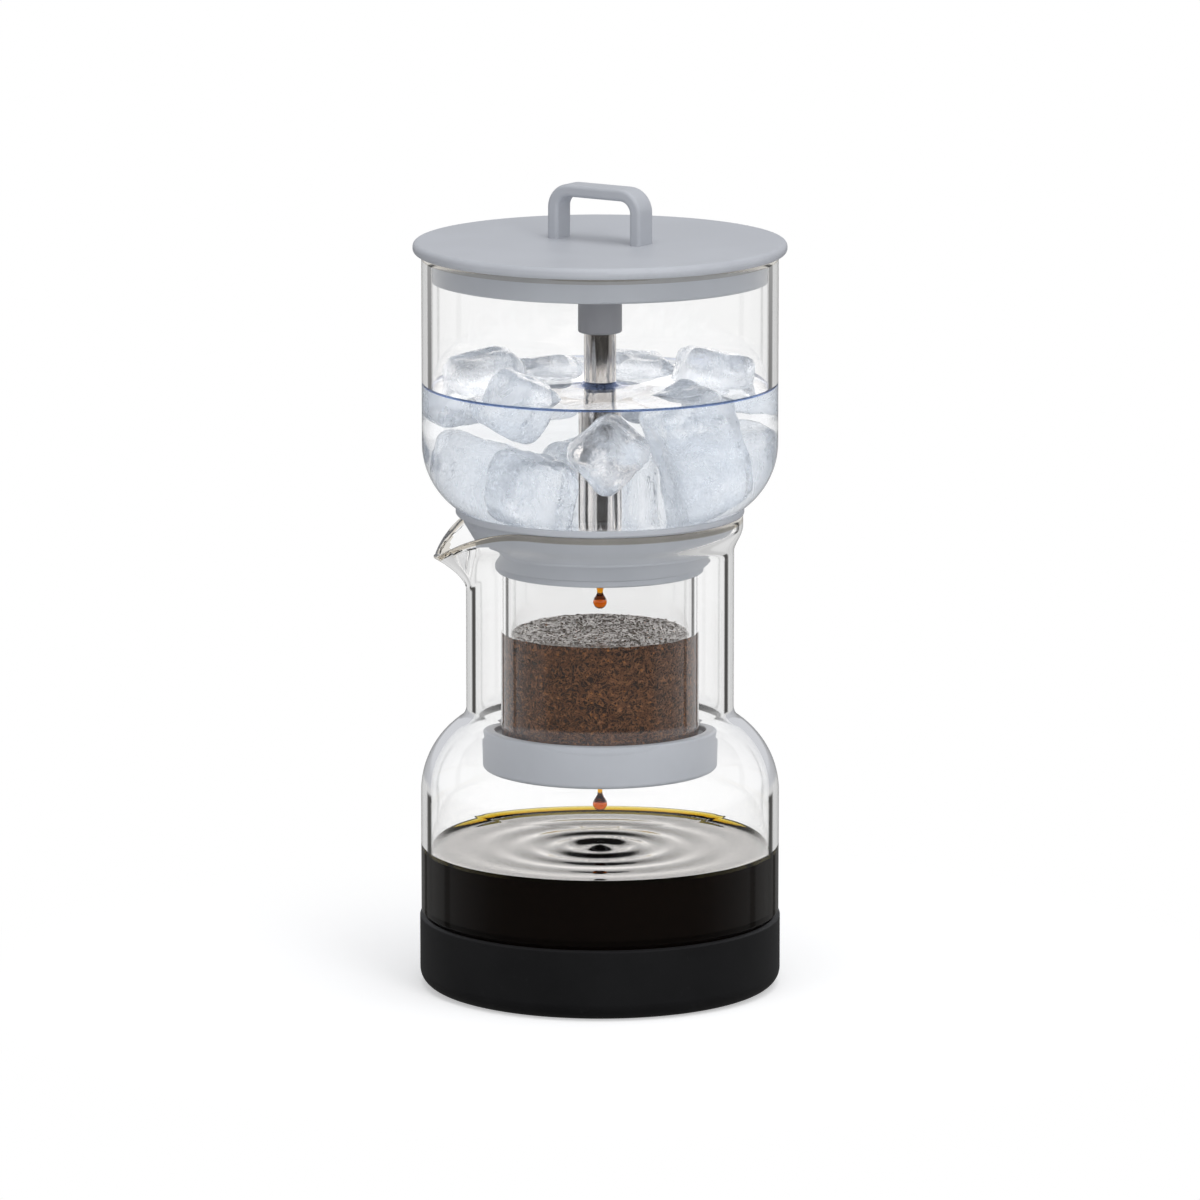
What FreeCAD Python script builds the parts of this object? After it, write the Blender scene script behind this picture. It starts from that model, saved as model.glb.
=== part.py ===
import FreeCAD, Part
import math
import os

# Cold brew coffee maker: a glass drip tower standing in the neck of a glass carafe.
# Millimetres, +Z up, origin at the centre of the flat underside, pouring spout towards -X.

# ---- clearances ------------------------------------------------------------------------------
lift_gap = 0.3         # between pieces that come apart by hand
stretch_gap = 0.05     # between a silicone piece and the glass that it is stretched over
turning_gap = 0.08     # valve tube in the bore of its seat
liquid_gap = 0.05      # between a filling and the glass around it
sew_gap = 0.01         # widest seam that is closed between two faces of one piece

# ---- base sleeve -----------------------------------------------------------------------------
sleeve_wall = 2.0
sleeve_floor = 2.5
sleeve_height = 24.0
sleeve_corner = 5.5
sleeve_proud = 0.5     # how far the sleeve stands out past the glass above it

# ---- carafe ----------------------------------------------------------------------------------
carafe_radius = 60.2
carafe_wall = 3.2
carafe_foot_corner = 5.0
recess_rise = 1.5      # height of the small step in the glass above the sleeve
shoulder_height = 80.9  # where the wall's line and the shoulder's line cross
shoulder_lean = 55.0   # degrees of the shoulder's line from upright
shoulder_round = 29.0
neck_room = 2.5        # between the filter ring and the inside of the neck
neck_round = 6.5
neck_height = 133.0    # top of the straight neck, where the mouth begins
flare_rise = 14.8      # from there to where the mouth opens out, away from the spout
mouth_rise = 27.4      # from there to the top of the lip
mouth_flare = 3.0      # how far the mouth opens out past the neck
lip_wall = 1.7
lip_land = 3.0         # upright stretch of the mouth under its lip
coffee_headroom = 12.2  # from the coffee's surface up to the drop above it

# ---- pouring spout ---------------------------------------------------------------------------
spout_turn = 7.2       # degrees from -X towards the front
spout_reach = 7.8      # past the mouth's radius
spout_drop = 13.2      # below the mouth
spout_half_width = 36.9   # degrees over which the lip is pulled outwards
spout_half_dip = 50.0  # degrees over which the lip is drawn down
spout_rise = 1.5       # from the top of the straight neck to where the spout's bulge begins
spout_softness = 3.5   # degrees, rounding of the fold at the tip

# ---- drip tower glass ------------------------------------------------------------------------
tower_radius = 59.5
tower_wall = 3.2
tower_rise = 93.9      # from the waist to the top of the rim
bowl_round = 26.0
bowl_lean = 30.0       # degrees of the bowl's floor below level
waist_depth = 6.3      # from the seal's flange down to where bowl and coffee chamber meet
waist_round = 3.0
chamber_radius = 33.2
chamber_wall = 3.2
chamber_length = 76.9  # from the waist down to its lower edge
valve_hole_radius = 8.0
water_depth = 47.75
grounds_headroom = 7.0  # from the coffee grounds up to the drop above them

# ---- carafe seal -----------------------------------------------------------------------------
flange_overhang = 0.4   # past the carafe's lip
flange_thickness = 2.3
plug_gap = 0.5         # between the lip and the plug just under its flange
plug_band = 2.6        # height of that part, above the cone
plug_depth = 9.8       # from the flange's underside to the wiper
wiper_thickness = 0.9
funnel_inset = 2.5     # from the inside of the neck to the plug below the wiper
funnel_foot_wall = 2.5
funnel_depth = 6.0
collar_wall = 1.5
collar_depth = 2.4

# ---- valve -----------------------------------------------------------------------------------
tube_radius = 5.4
tube_wall = 0.8
tube_stub = 3.5        # below the seat
tube_length = 84.5
port_radius = 1.25
grommet_lip = 1.6
grommet_lip_thickness = 1.5
knob_radius = 7.35
knob_height = 14.1
knob_cap = 3.5         # silicone above the tube's end
knob_round = 0.8
nozzle_tip_radius = 2.3
nozzle_length = 10.7   # below the tube
nozzle_bore_radius = 0.9
nozzle_plug_height = 6.0

# ---- lid -------------------------------------------------------------------------------------
lid_radius = 62.4
lid_thickness = 3.9
lid_edge_round = 1.7
skirt_gap = 0.4
skirt_wall = 2.6
skirt_depth = 8.7
skirt_round = 0.8
handle_turn = -33.2    # degrees from +X
handle_spread = 32.6   # between the middles of its feet
handle_height = 18.6
handle_strap = 4.2
handle_width = 8.8
handle_inner_round = 4.0
handle_edge_round = 1.3
stud_radius = 2.2
stud_head_radius = 3.4
stud_head_thickness = 1.6

# ---- filter ----------------------------------------------------------------------------------
ring_wall = 5.7
ring_height = 13.0
ring_round = 1.3
ring_mouth_step = 1.9   # how much wider the mouth is than the band
ring_grip_height = 6.6   # height of the band that holds the glass
ring_ledge = 1.7       # thickness of the ledge under the glass
ring_ledge_width = 3.9
mesh_thickness = 0.3
mesh_frame_height = 1.5
mesh_frame_width = 2.4
mesh_groove_depth = 1.0
mesh_groove_gap = 0.05

# ---- drops -----------------------------------------------------------------------------------
drop_radius = 2.3
drop_neck_radius = 1.0
upper_drop_length = 9.0
upper_drop_spread = 2.1
lower_drop_length = 17.6
lower_drop_spread = 2.6

# ---- ice: the middle of each lump (its height from the water's surface), its three sizes and
# its turns about X, Y and Z
ice_round = 4.5
ice_lumps = {
    "ice_left_back": ((-38.5, 2.0, -0.5), (25, 23, 21), (8, -10, 20)),
    "ice_left_front": ((-26.0, -28.0, -2.0), (22, 18, 19), (14, 24, 34)),
    "ice_right_front": ((29.0, -20.5, -17.0), (25, 24, 38), (6, -20, 28)),
    "ice_right_back": ((38.0, 10.5, 0.0), (25, 23, 20), (-6, 12, 12)),
    "ice_back_right": ((13.0, 37.0, -5.0), (23, 22, 19), (10, 8, 25)),
    "ice_back_left": ((-17.0, 33.5, -5.0), (24, 22, 18), (-8, 12, 70)),
    "ice_middle_front": ((2.5, -35.5, -16.0), (20, 19, 20), (10, 45, 4)),
    "ice_low_front": ((-20.0, -24.0, -28.5), (23, 20, 20), (14, 10, 30)),
    "ice_low_back": ((1.0, 23.0, -30.0), (26, 22, 22), (12, -8, 55)),
    "ice_low_left": ((-30.0, 5.5, -27.0), (21, 22, 20), (5, 20, 10)),
    "ice_low_right": ((30.5, 15.0, -25.5), (21, 22, 20), (15, -12, 40)),
}

# ---- places worked out from the sizes above --------------------------------------------------
sleeve_radius = carafe_radius + sleeve_proud
carafe_recess = sleeve_radius - sleeve_wall - stretch_gap
grip_radius = chamber_radius + lift_gap
ring_radius = grip_radius + ring_wall
ring_mouth_radius = grip_radius + ring_mouth_step
neck_inner_radius = ring_radius + neck_room
neck_radius = neck_inner_radius + carafe_wall
mouth_radius = neck_radius + mouth_flare
flare_height = neck_height + flare_rise
mouth_height = neck_height + mouth_rise
spout_start = neck_height + spout_rise
lip_height = mouth_height - lip_wall / 2
shoulder_run = (carafe_radius - neck_radius) / math.tan(math.radians(shoulder_lean))
flange_radius = mouth_radius + flange_overhang
plug_radius = mouth_radius - lip_wall - plug_gap
funnel_radius = neck_inner_radius - funnel_inset
funnel_foot_radius = chamber_radius + funnel_foot_wall
flange_foot = mouth_height + lift_gap
flange_top = flange_foot + flange_thickness
waist_height = flange_foot - waist_depth
tower_height = waist_height + tower_rise
tower_inner_radius = tower_radius - tower_wall
chamber_inner_radius = chamber_radius - chamber_wall
chamber_foot = waist_height - chamber_length
bowl_slope = math.tan(math.radians(bowl_lean))
bowl_corner_height = waist_height + (tower_radius - chamber_radius) * bowl_slope
bowl_rise = tower_wall / math.cos(math.radians(bowl_lean))
chamber_floor_top = waist_height + (chamber_inner_radius - chamber_radius) * bowl_slope + bowl_rise
chamber_ceiling = chamber_floor_top - tower_wall
water_height = chamber_floor_top + water_depth
wiper_height = flange_foot - plug_depth
funnel_foot = wiper_height - wiper_thickness - funnel_depth
collar_foot = funnel_foot - collar_depth
grommet_top = chamber_floor_top + grommet_lip_thickness
grommet_foot = chamber_ceiling - grommet_lip_thickness
grommet_radius = valve_hole_radius - stretch_gap
tube_bore_radius = tube_radius - tube_wall
tube_foot = grommet_foot - tube_stub
tube_top = tube_foot + tube_length
knob_top = tube_top + knob_cap
knob_foot = knob_top - knob_height
nozzle_foot = tube_foot - nozzle_length
lid_foot = tower_height + lift_gap
lid_top = lid_foot + lid_thickness
skirt_radius = tower_inner_radius - skirt_gap
skirt_foot = lid_foot - skirt_depth
ledge_top = chamber_foot - lift_gap - mesh_frame_height
ring_foot = ledge_top - ring_ledge
ring_top = ring_foot + ring_height
ledge_radius = grip_radius - ring_ledge_width
mesh_frame_foot = ledge_top
mesh_frame_radius = grip_radius - stretch_gap
mesh_height = mesh_frame_foot + (mesh_frame_height - mesh_thickness) / 2
mesh_frame_inner = mesh_frame_radius - mesh_frame_width
mesh_radius = mesh_frame_inner + mesh_groove_depth
grounds_foot = mesh_height + mesh_thickness + lift_gap
grounds_top = nozzle_foot - upper_drop_length - grounds_headroom
coffee_height = mesh_height - lower_drop_length - coffee_headroom
upright = FreeCAD.Vector(0, 0, 1)
middle = FreeCAD.Vector(0, 0, 0)


# ---- turned shapes ---------------------------------------------------------------------------
def corner_reach(before, corner, after, radius):
    """Length of each line that a rounding of this radius takes up at a corner."""
    turn = (corner - before).getAngle(after - corner)
    return radius * math.tan(turn / 2)


def rounded_edges(path, closed):
    """Lines and arcs through points (radius, height) or (radius, height, rounding)."""
    points = [FreeCAD.Vector(p[0], 0, p[1]) for p in path]
    rounds = [p[2] if len(p) > 2 else 0.0 for p in path]
    count = len(points)
    reach = [0.0] * count
    for i in range(count):
        if rounds[i]:
            reach[i] = corner_reach(points[i - 1], points[i], points[(i + 1) % count], rounds[i])
    share = [1.0] * count
    for i in range(count if closed else count - 1):
        j = (i + 1) % count
        room = 0.999 * (points[j] - points[i]).Length
        if reach[i] + reach[j] > room:
            share[i] = min(share[i], room / (reach[i] + reach[j]))
            share[j] = min(share[j], room / (reach[i] + reach[j]))
    edges = []
    start = None
    for i in range(count):
        entry = leaving = points[i]
        if reach[i]:
            back = (points[i - 1] - points[i]).normalize()
            ahead = (points[(i + 1) % count] - points[i]).normalize()
            entry = points[i] + back * reach[i] * share[i]
            leaving = points[i] + ahead * reach[i] * share[i]
        if start is not None and (entry - start).Length > 1e-6:
            edges.append(Part.makeLine(start, entry))
        if reach[i]:
            turn = back.getAngle(ahead)
            radius = reach[i] * share[i] * math.tan(turn / 2)
            depth = radius / math.sin(turn / 2) - radius
            crown = points[i] + (back + ahead).normalize() * depth
            edges.append(Part.Arc(entry, crown, leaving).toShape())
        if i == 0:
            first = entry
        start = leaving
    if closed and (first - start).Length > 1e-6:
        edges.append(Part.makeLine(start, first))
    return edges


def turned(path):
    """Solid of revolution about Z of a closed outline."""
    wire = Part.Wire(rounded_edges(path, True))
    return Part.Face(wire).revolve(middle, upright, 360)


def offset_path(path, wall):
    """The same open line moved to its left by wall, with its roundings to match."""
    lines = []
    for a, b in zip(path, path[1:]):
        run, rise = b[0] - a[0], b[1] - a[1]
        length = math.hypot(run, rise)
        shift = (-rise / length * wall, run / length * wall)
        lines.append(((a[0] + shift[0], a[1] + shift[1]), (b[0] + shift[0], b[1] + shift[1])))
    moved = [lines[0][0]]
    for (a, b), (c, d), corner in zip(lines, lines[1:], path[1:]):
        run1, rise1, run2, rise2 = b[0] - a[0], b[1] - a[1], d[0] - c[0], d[1] - c[1]
        cross = run1 * rise2 - rise1 * run2
        along = ((c[0] - a[0]) * rise2 - (c[1] - a[1]) * run2) / cross
        rounding = corner[2] - math.copysign(wall, cross) if len(corner) > 2 else 0.0
        moved.append((a[0] + run1 * along, a[1] + rise1 * along, max(rounding, 0.0)))
    moved.append(lines[-1][1])
    return moved


def cylinder(radius, foot, top):
    return Part.makeCylinder(radius, top - foot, FreeCAD.Vector(0, 0, foot))


# ---- carafe ----------------------------------------------------------------------------------
def carafe_outline():
    """Outside of the carafe from the middle of its floor up to the mouth."""
    return [
        (0, sleeve_floor),
        (carafe_recess, sleeve_floor, carafe_foot_corner),
        (carafe_recess, sleeve_height, recess_rise / 2),
        (carafe_radius, sleeve_height + recess_rise, recess_rise / 2),
        (carafe_radius, shoulder_height, shoulder_round),
        (neck_radius, shoulder_height + shoulder_run, neck_round),
        (neck_radius, neck_height),
    ]


def mouth_profile(turn):
    """Outer line, lip and inner line of the mouth, turn degrees away from the spout."""
    soft = math.hypot(turn, spout_softness) - spout_softness
    pull = max(0.0, 1 - soft / spout_half_width) ** 1.44
    dip = max(0.0, 1 - soft / spout_half_dip) ** 1.92
    tip_radius = mouth_radius + spout_reach * pull
    tip_height = lip_height - spout_drop * dip
    start = flare_height - (flare_height - spout_start) * dip
    finish = tip_height - lip_land * (1 - dip)

    def opening(height):
        rise = min(1.0, max(0.0, (height - start) / (finish - start)))
        return (1 - dip) * rise * rise * (3 - 2 * rise) + dip * rise ** 1.9

    def outside(height):
        return neck_radius + (tip_radius - neck_radius) * opening(height)

    outer, inner = [], []
    steps = 22
    step = (tip_height - neck_height) / steps
    for i in range(steps + 1):
        height = neck_height + step * i
        if i == 0:
            slope = 0.0
        elif i == steps:
            slope = (outside(height) - outside(height - step / 50)) / (step / 50)
        else:
            slope = (outside(height + step / 50) - outside(height - step / 50)) / (step / 25)
        lean = math.atan(slope)
        wall = carafe_wall + (lip_wall - carafe_wall) * opening(height)
        outer.append((outside(height), height))
        inner.append((outside(height) - wall * math.cos(lean), height + wall * math.sin(lean)))
    centre = ((outer[-1][0] + inner[-1][0]) / 2, (outer[-1][1] + inner[-1][1]) / 2)
    lip = []
    for i in range(9):
        swing = math.pi * i / 8
        across = lip_wall / 2 * math.cos(swing)
        beyond = lip_wall / 2 * math.sin(swing)
        lip.append((
            centre[0] + across * math.cos(lean) + beyond * math.sin(lean),
            centre[1] - across * math.sin(lean) + beyond * math.cos(lean),
        ))
    return outer, lip, inner[::-1]


def at_turn(point, turn):
    """A profile point, turned from the spout's own direction."""
    angle = math.radians(180 + spout_turn + turn)
    return FreeCAD.Vector(point[0] * math.cos(angle), point[0] * math.sin(angle), point[1])


def swept(edge_list, start, sweep):
    """Faces made by turning edges about Z, from a turn counted from the spout."""
    wire = Part.Wire(edge_list)
    wire.rotate(middle, upright, start)
    return wire.revolve(middle, upright, sweep).Faces


def carafe_glass():
    """Turned body and neck, sewn to a mouth whose spout is one smooth pulled surface."""
    half = max(spout_half_width, spout_half_dip) + 6
    spout_side = 180 + spout_turn - half
    outside = carafe_outline()
    faces = []
    for path in (outside, offset_path(outside, carafe_wall)):
        edges = rounded_edges(path, False)
        faces += swept(edges, spout_side, 2 * half)
        faces += swept(edges, spout_side + 2 * half, 360 - 2 * half)
    columns = 49
    turns = [-half + 2 * half * i / (columns - 1) for i in range(columns)]
    profiles = [mouth_profile(turn) for turn in turns]
    for part in range(3):
        grid = [[at_turn(point, turn) for point in profile[part]]
                for turn, profile in zip(turns, profiles)]
        surface = Part.BSplineSurface()
        surface.approximate(Points=grid, DegMin=3, DegMax=8, Continuity=2, Tolerance=sew_gap / 100,
                            ParamType="Uniform")
        faces.append(surface.toShape())
        side = surface.uIso(surface.bounds()[1])
        faces += swept([side.toShape()], 0, 360 - 2 * half)
    shell = Part.Compound(faces)
    shell.sewShape(sew_gap)
    return Part.Solid(shell.Shells[0])


def base_sleeve():
    inner = sleeve_radius - sleeve_wall
    return turned([
        (0, 0),
        (sleeve_radius, 0, sleeve_corner),
        (sleeve_radius, sleeve_height, sleeve_wall / 3),
        (inner, sleeve_height, sleeve_wall / 3),
        (inner, sleeve_floor, carafe_foot_corner),
        (0, sleeve_floor),
    ])


def brewed_coffee():
    inside = offset_path(carafe_outline(), carafe_wall + liquid_gap)
    filling = turned(inside + [(0, inside[-1][1])])
    box_side = 4 * carafe_radius
    cover = Part.makeBox(box_side, box_side, box_side,
                         FreeCAD.Vector(-box_side / 2, -box_side / 2, coffee_height))
    return filling.cut(cover)


# ---- drip tower ------------------------------------------------------------------------------
def tower_outline():
    """Outside of the tower from its rim down to the foot of the coffee chamber."""
    return [
        (tower_radius, tower_height),
        (tower_radius, bowl_corner_height, bowl_round),
        (chamber_radius, waist_height, waist_round),
        (chamber_radius, chamber_foot),
    ]


def bowl_inline(gap):
    """Inside of the water chamber, gap clear of the glass, from its floor up to the rim."""
    inner = tower_inner_radius - gap
    floor = chamber_floor_top + gap
    rise = bowl_rise + gap / math.cos(math.radians(bowl_lean))
    edge = chamber_radius + (floor - waist_height - rise) / bowl_slope
    corner = waist_height + (inner - chamber_radius) * bowl_slope + rise
    return [(edge, floor), (inner, corner, bowl_round - tower_wall - gap)]


def tower_glass():
    edge = tower_wall * 0.49
    chamber_edge = chamber_wall * 0.49
    outside = tower_outline()
    bowl = bowl_inline(0)
    return turned([
        (valve_hole_radius, chamber_floor_top),
        bowl[0],
        bowl[1],
        (tower_inner_radius, tower_height, edge),
        (tower_radius, tower_height, edge),
        outside[1],
        outside[2],
        (chamber_radius, chamber_foot, chamber_edge),
        (chamber_inner_radius, chamber_foot, chamber_edge),
        (chamber_inner_radius, chamber_ceiling, chamber_wall),
        (valve_hole_radius, chamber_ceiling),
    ])


def carafe_seal():
    """Silicone plug: flange on the carafe's lip, wiper in the neck, glass nested inside."""
    hug = offset_path([
        (chamber_radius, collar_foot),
        (chamber_radius, waist_height, waist_round),
        (tower_radius, bowl_corner_height, bowl_round),
        (tower_radius, tower_height),
    ], -stretch_gap)
    wiper_radius = neck_inner_radius - lift_gap
    edge = wiper_thickness / 3
    blank = turned([
        (0, collar_foot),
        (chamber_radius + collar_wall, collar_foot, collar_wall / 3),
        (chamber_radius + collar_wall, funnel_foot),
        (funnel_foot_radius, funnel_foot, edge),
        (funnel_radius, wiper_height - wiper_thickness),
        (wiper_radius, wiper_height - wiper_thickness, edge),
        (wiper_radius, wiper_height, edge),
        (plug_radius, flange_foot - plug_band, plug_band / 2),
        (plug_radius, flange_foot),
        (flange_radius, flange_foot, flange_thickness / 4),
        (flange_radius, flange_top, flange_thickness / 4),
        (0, flange_top),
    ])
    bore = turned([(0, collar_foot - 1), (hug[0][0], collar_foot - 1)] + hug[1:3]
                  + [hug[3], (0, hug[3][1])])
    return blank.cut(bore)


def valve_seat():
    """Silicone grommet in the hole between the two chambers."""
    lip = valve_hole_radius + grommet_lip
    bore = tube_radius + turning_gap
    soft = grommet_lip_thickness / 3
    return turned([
        (bore, grommet_foot),
        (lip, grommet_foot, soft),
        (lip, chamber_ceiling),
        (grommet_radius, chamber_ceiling),
        (grommet_radius, chamber_floor_top),
        (lip, chamber_floor_top),
        (lip, grommet_top, soft),
        (bore, grommet_top),
    ])


# ---- valve -----------------------------------------------------------------------------------
def valve_tube():
    """Steel tube with two small ports low in the water."""
    tube = cylinder(tube_radius, tube_foot, tube_top)
    tube = tube.cut(cylinder(tube_bore_radius, tube_foot - 1, tube_top + 1))
    port_height = grommet_top + 2 * port_radius
    drill = Part.makeCylinder(port_radius, 4 * tube_radius,
                              FreeCAD.Vector(-2 * tube_radius, 0, port_height),
                              FreeCAD.Vector(1, 0, 0))
    return tube.cut(drill)


def valve_knob():
    socket = tube_radius + stretch_gap
    return turned([
        (0, tube_top + stretch_gap),
        (socket, tube_top + stretch_gap),
        (socket, knob_foot),
        (knob_radius, knob_foot, knob_round),
        (knob_radius, knob_top, knob_round),
        (0, knob_top),
    ])


def drip_nozzle():
    """Silicone plug in the tube's lower end, drawn down to the tip that the drops leave."""
    stem = tube_bore_radius - stretch_gap
    shoulder = tube_foot - stretch_gap
    return turned([
        (nozzle_bore_radius, nozzle_foot),
        (nozzle_tip_radius, nozzle_foot, (nozzle_tip_radius - nozzle_bore_radius) / 3),
        (tube_radius, shoulder - tube_radius),
        (tube_radius, shoulder),
        (stem, shoulder),
        (stem, shoulder + nozzle_plug_height),
        (nozzle_bore_radius, shoulder + nozzle_plug_height),
    ])


# ---- lid -------------------------------------------------------------------------------------
def handle_place(shape):
    """Put a shape made along X over the middle of the lid at the handle's turn."""
    shape.rotate(middle, upright, handle_turn)
    shape.translate(FreeCAD.Vector(0, 0, lid_top))
    return shape


def foot_pair(radius, low, high):
    """Two upright rods, one under each foot of the handle."""
    rods = [Part.makeCylinder(radius, high - low, FreeCAD.Vector(side * handle_spread / 2, 0, low))
            for side in (-1, 1)]
    return handle_place(Part.Compound(rods))


def lid_disc():
    """Silicone disc with a hollow skirt that plugs the tower's mouth."""
    inner = skirt_radius - skirt_wall
    disc = turned([
        (0, lid_foot),
        (inner, lid_foot, skirt_round),
        (inner, skirt_foot, skirt_round),
        (skirt_radius, skirt_foot, skirt_round),
        (skirt_radius, lid_foot),
        (lid_radius, lid_foot, lid_edge_round),
        (lid_radius, lid_top, lid_edge_round),
        (0, lid_top),
    ])
    return disc.cut(foot_pair(stud_radius + stretch_gap, -lid_thickness - 1, 1))


def lid_handle():
    """Square arch with rounded shoulders, held by two barbed studs through the disc."""
    outer = handle_spread / 2 + handle_strap / 2
    inner = outer - handle_strap
    under = handle_height - handle_strap
    path = [
        (-outer, 0),
        (-outer, handle_height, handle_inner_round + handle_strap),
        (outer, handle_height, handle_inner_round + handle_strap),
        (outer, 0),
        (inner, 0),
        (inner, under, handle_inner_round),
        (-inner, under, handle_inner_round),
        (-inner, 0),
    ]
    face = Part.Face(Part.Wire(rounded_edges(path, True)))
    face.translate(FreeCAD.Vector(0, -handle_width / 2, 0))
    arch = face.extrude(FreeCAD.Vector(0, handle_width, 0))
    long_edges = []
    for edge in arch.Edges:
        box = edge.BoundBox
        if box.YLength < 1e-6 and box.ZMax > 1e-3:
            long_edges.append(edge)
    arch = handle_place(arch.makeFillet(handle_edge_round, long_edges))
    stud = foot_pair(stud_radius, -lid_thickness - stretch_gap, 0)
    head = foot_pair(stud_head_radius, -lid_thickness - stretch_gap - stud_head_thickness,
                     -lid_thickness - stretch_gap)
    return arch.fuse([stud, head]).removeSplitter()


# ---- filter ----------------------------------------------------------------------------------
def filter_ring():
    """Silicone cup without a floor: a ledge, a band that grips the glass, a wider mouth."""
    grip_top = ledge_top + ring_grip_height
    return turned([
        (ledge_radius, ring_foot, ring_round / 2),
        (ring_radius, ring_foot, ring_round),
        (ring_radius, ring_top, ring_round),
        (ring_mouth_radius, ring_top, ring_round / 2),
        (ring_mouth_radius, grip_top + ring_mouth_radius - grip_radius),
        (grip_radius, grip_top),
        (grip_radius, ledge_top),
        (ledge_radius, ledge_top),
    ])


def mesh_frame():
    """Steel rim folded round the edge of the mesh."""
    top = mesh_frame_foot + mesh_frame_height
    groove = mesh_frame_inner + mesh_groove_depth + mesh_groove_gap
    return turned([
        (mesh_frame_inner, mesh_frame_foot),
        (mesh_frame_radius, mesh_frame_foot, mesh_thickness),
        (mesh_frame_radius, top, mesh_thickness),
        (mesh_frame_inner, top),
        (mesh_frame_inner, mesh_height + mesh_thickness + mesh_groove_gap),
        (groove, mesh_height + mesh_thickness + mesh_groove_gap),
        (groove, mesh_height - mesh_groove_gap),
        (mesh_frame_inner, mesh_height - mesh_groove_gap),
    ])


def filter_mesh():
    return cylinder(mesh_radius, mesh_height, mesh_height + mesh_thickness)


# ---- fillings --------------------------------------------------------------------------------
def ice_lump(place, size, turns):
    """A lump of ice: a block with rounded edges, tumbled."""
    block = Part.makeBox(*size, FreeCAD.Vector(*(-side / 2 for side in size)))
    block = block.makeFillet(ice_round, block.Edges)
    for axis, turn in zip(((1, 0, 0), (0, 1, 0), (0, 0, 1)), turns):
        block.rotate(middle, FreeCAD.Vector(*axis), turn)
    block.translate(FreeCAD.Vector(place[0], place[1], water_height + place[2]))
    return block


def water(ice):
    bowl = bowl_inline(liquid_gap)
    inner = bowl[1][0]
    bulk = turned([(0, bowl[0][1]), bowl[0], bowl[1], (inner, water_height), (0, water_height)])
    bulk = bulk.cut(cylinder(tube_radius + liquid_gap, waist_height - 1, water_height + 1))
    grommet = valve_hole_radius + grommet_lip + liquid_gap
    bulk = bulk.cut(cylinder(grommet, waist_height - 1, grommet_top + liquid_gap))
    return bulk.cut(ice)


def coffee_grounds():
    radius = chamber_inner_radius - liquid_gap
    return cylinder(radius, grounds_foot, grounds_top)


def hanging_drop(top, length, spread):
    """A drop on its neck, hanging from a wet spot of the given spread."""
    ball = top - length + drop_radius
    neck = ball + 1.7 * drop_radius
    outline = Part.BSplineCurve()
    outline.interpolate([FreeCAD.Vector(r, 0, z) for r, z in (
        (drop_radius, ball),
        (0.62 * drop_radius, ball + 1.05 * drop_radius),
        (drop_neck_radius, neck),
        (1.15 * drop_neck_radius, neck + 0.5 * (top - neck)),
        (spread, top),
    )])
    low = Part.Arc(
        FreeCAD.Vector(0, 0, ball - drop_radius),
        FreeCAD.Vector(drop_radius * math.sqrt(0.5), 0, ball - drop_radius * math.sqrt(0.5)),
        FreeCAD.Vector(drop_radius, 0, ball),
    )
    edges = [
        low.toShape(),
        outline.toShape(),
        Part.makeLine(FreeCAD.Vector(spread, 0, top), FreeCAD.Vector(0, 0, top)),
        Part.makeLine(FreeCAD.Vector(0, 0, top), FreeCAD.Vector(0, 0, ball - drop_radius)),
    ]
    return Part.Face(Part.Wire(edges)).revolve(middle, upright, 360)


# ---- all pieces ------------------------------------------------------------------------------
ice = {name: ice_lump(*lump) for name, lump in ice_lumps.items()}
pieces = {
    "base_sleeve": base_sleeve(),
    "carafe_glass": carafe_glass(),
    "brewed_coffee": brewed_coffee(),
    "tower_glass": tower_glass(),
    "carafe_seal": carafe_seal(),
    "valve_seat": valve_seat(),
    "valve_tube": valve_tube(),
    "valve_knob": valve_knob(),
    "drip_nozzle": drip_nozzle(),
    "lid_disc": lid_disc(),
    "lid_handle": lid_handle(),
    "filter_ring": filter_ring(),
    "mesh_frame": mesh_frame(),
    "filter_mesh": filter_mesh(),
    "coffee_grounds": coffee_grounds(),
    "upper_drop": hanging_drop(nozzle_foot, upper_drop_length, upper_drop_spread),
    "lower_drop": hanging_drop(mesh_height, lower_drop_length, lower_drop_spread),
    "water": water(list(ice.values())),
}
pieces.update(ice)

os.makedirs("parts", exist_ok=True)
for name, shape in pieces.items():
    solids = shape.Solids
    if len(solids) != 1 or not shape.isValid():
        print("CHECK", name, len(solids), "solids, valid", shape.isValid())
    shape.exportStep("parts/" + name + ".step")
    print(name, round(shape.Volume, 1))
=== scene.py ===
import math

import bmesh
import bpy
from mathutils import Matrix, Vector, noise


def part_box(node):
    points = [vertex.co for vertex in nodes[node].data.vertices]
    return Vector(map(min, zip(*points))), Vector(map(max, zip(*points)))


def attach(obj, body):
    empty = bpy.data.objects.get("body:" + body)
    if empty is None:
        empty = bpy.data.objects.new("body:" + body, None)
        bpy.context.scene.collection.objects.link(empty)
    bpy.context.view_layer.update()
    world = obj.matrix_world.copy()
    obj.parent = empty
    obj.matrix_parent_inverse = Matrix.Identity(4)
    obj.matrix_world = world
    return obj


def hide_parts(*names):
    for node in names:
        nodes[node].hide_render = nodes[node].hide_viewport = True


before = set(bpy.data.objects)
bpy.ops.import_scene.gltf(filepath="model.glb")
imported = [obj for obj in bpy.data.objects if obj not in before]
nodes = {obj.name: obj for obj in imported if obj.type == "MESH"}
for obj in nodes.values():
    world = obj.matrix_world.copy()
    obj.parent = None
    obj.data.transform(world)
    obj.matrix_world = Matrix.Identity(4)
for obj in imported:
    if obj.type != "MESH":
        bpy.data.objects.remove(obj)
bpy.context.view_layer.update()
scene = bpy.context.scene
mm = 0.001

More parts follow.
